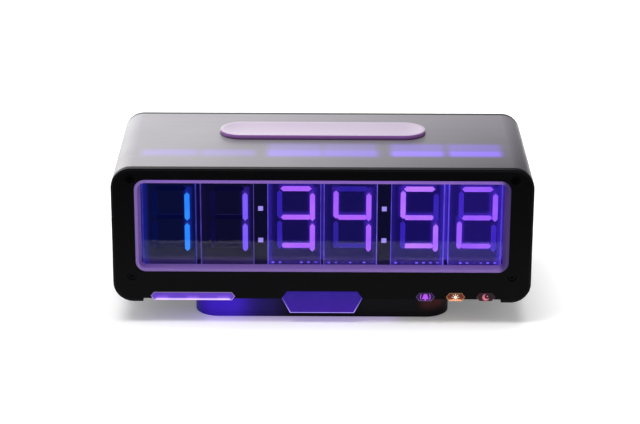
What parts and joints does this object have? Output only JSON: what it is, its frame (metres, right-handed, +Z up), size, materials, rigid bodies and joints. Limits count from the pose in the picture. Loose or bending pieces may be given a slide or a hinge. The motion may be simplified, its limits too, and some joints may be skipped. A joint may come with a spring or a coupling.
{
  "type": "nixie tube clock",
  "caption": "Wide desk clock with stacked edge-lit engraved digit plates behind a window, a rounded shell, a snooze bar on top, lit indicator plates and a hollow plinth.",
  "frame": {"origin": "on the ground, under the middle of the bounding box", "axes": "+X across the clock to the right seen from the front, +Y from the window to the back, +Z up"},
  "size_m": [0.24, 0.1076, 0.0966],
  "materials": {
    "bezel_black": "smooth black, softly glossy",
    "trim_mauve": "grey-violet, satin, lit by the digits",
    "lens_clear": "clear and glossy, faintly tinted",
    "plate_clear": "clear acrylic with engraved bars that glow violet-blue from their edges",
    "indicator_clear": "translucent, lit from behind in violet, orange and pink",
    "shell_smoke": "translucent smoke grey, satin",
    "panel_black": "fine matt black",
    "baffle_black": "matt black",
    "pad_rubber": "matt black",
    "board_green": "green solder mask",
    "led_cream": "cream, with a lit face",
    "metal_plain": "plain bright steel",
    "screw_black": "blackened",
    "header_cream": "cream nylon",
    "cable_grey": "grey flat cable",
    "part_black": "black moulded",
    "plunger_brown": "brown moulded",
    "button_lilac": "pale lilac, satin"
  },
  "bodies": {
    "case": {"front_bezel": "bezel_black", "window_trim": "trim_mauve", "window_lens": "lens_clear", "badge_plate": "indicator_clear", "label_plate": "indicator_clear", "alarm_icon_plate": "indicator_clear", "brightness_icon_plate": "indicator_clear", "night_icon_plate": "indicator_clear", "shell": "shell_smoke", "rear_panel": "panel_black", "bottom_tray": "panel_black", "base_plinth": "panel_black", "plinth_pads": "pad_rubber", "digit_1_plates": "plate_clear", "digit_2_plates": "plate_clear", "digit_3_plates": "plate_clear", "digit_4_plates": "plate_clear", "digit_5_plates": "plate_clear", "digit_6_plates": "plate_clear", "lower_plate_holder": "baffle_black", "upper_plate_holder": "baffle_black", "colon_masks": "baffle_black", "colon_light_pipes": "plate_clear", "light_baffle": "baffle_black", "display_board": "board_green", "display_leds": "led_cream", "indicator_leds": "led_cream", "main_board": "board_green", "controller_module": "metal_plain", "usb_socket": "metal_plain", "buzzer": "part_black", "coin_cell_holder": "part_black", "coin_cell": "metal_plain", "board_headers": "header_cream", "ribbon_cable": "cable_grey", "snooze_carrier": "panel_black", "snooze_springs": "metal_plain", "snooze_board": "board_green", "snooze_switch": "part_black", "snooze_lead": "cable_grey", "button_switches": "part_black", "bezel_screws": "screw_black", "rear_screws": "screw_black", "tray_screws": "metal_plain", "plinth_screws": "metal_plain", "board_screws": "metal_plain", "carrier_screws": "metal_plain"},
    "snooze_bar": {"snooze_bar": "button_lilac", "snooze_plunger": "plunger_brown"},
    "mode_button": {"mode_button": "button_lilac", "mode_plunger": "plunger_brown"},
    "plus_button": {"plus_button": "button_lilac", "plus_plunger": "plunger_brown"},
    "minus_button": {"minus_button": "button_lilac", "minus_plunger": "plunger_brown"}
  },
  "joints": [
    {"name": "snooze_press", "type": "slide", "parent": "case", "child": "snooze_bar", "axis": [0, 0, 1], "range_m": [-0.0015, 0], "stiffness_N_per_m": 800, "springref_m": 0.0015, "deforming": ["snooze_springs"]},
    {"name": "mode_press", "type": "slide", "parent": "case", "child": "mode_button", "axis": [0, 1, 0], "range_m": [-0.0006, 0], "stiffness_N_per_m": 1500, "springref_m": 0.0006},
    {"name": "plus_press", "type": "slide", "parent": "case", "child": "plus_button", "axis": [0, 1, 0], "range_m": [-0.0006, 0], "stiffness_N_per_m": 1500, "springref_m": 0.0006},
    {"name": "minus_press", "type": "slide", "parent": "case", "child": "minus_button", "axis": [0, 1, 0], "range_m": [-0.0006, 0], "stiffness_N_per_m": 1500, "springref_m": 0.0006}
  ]
}
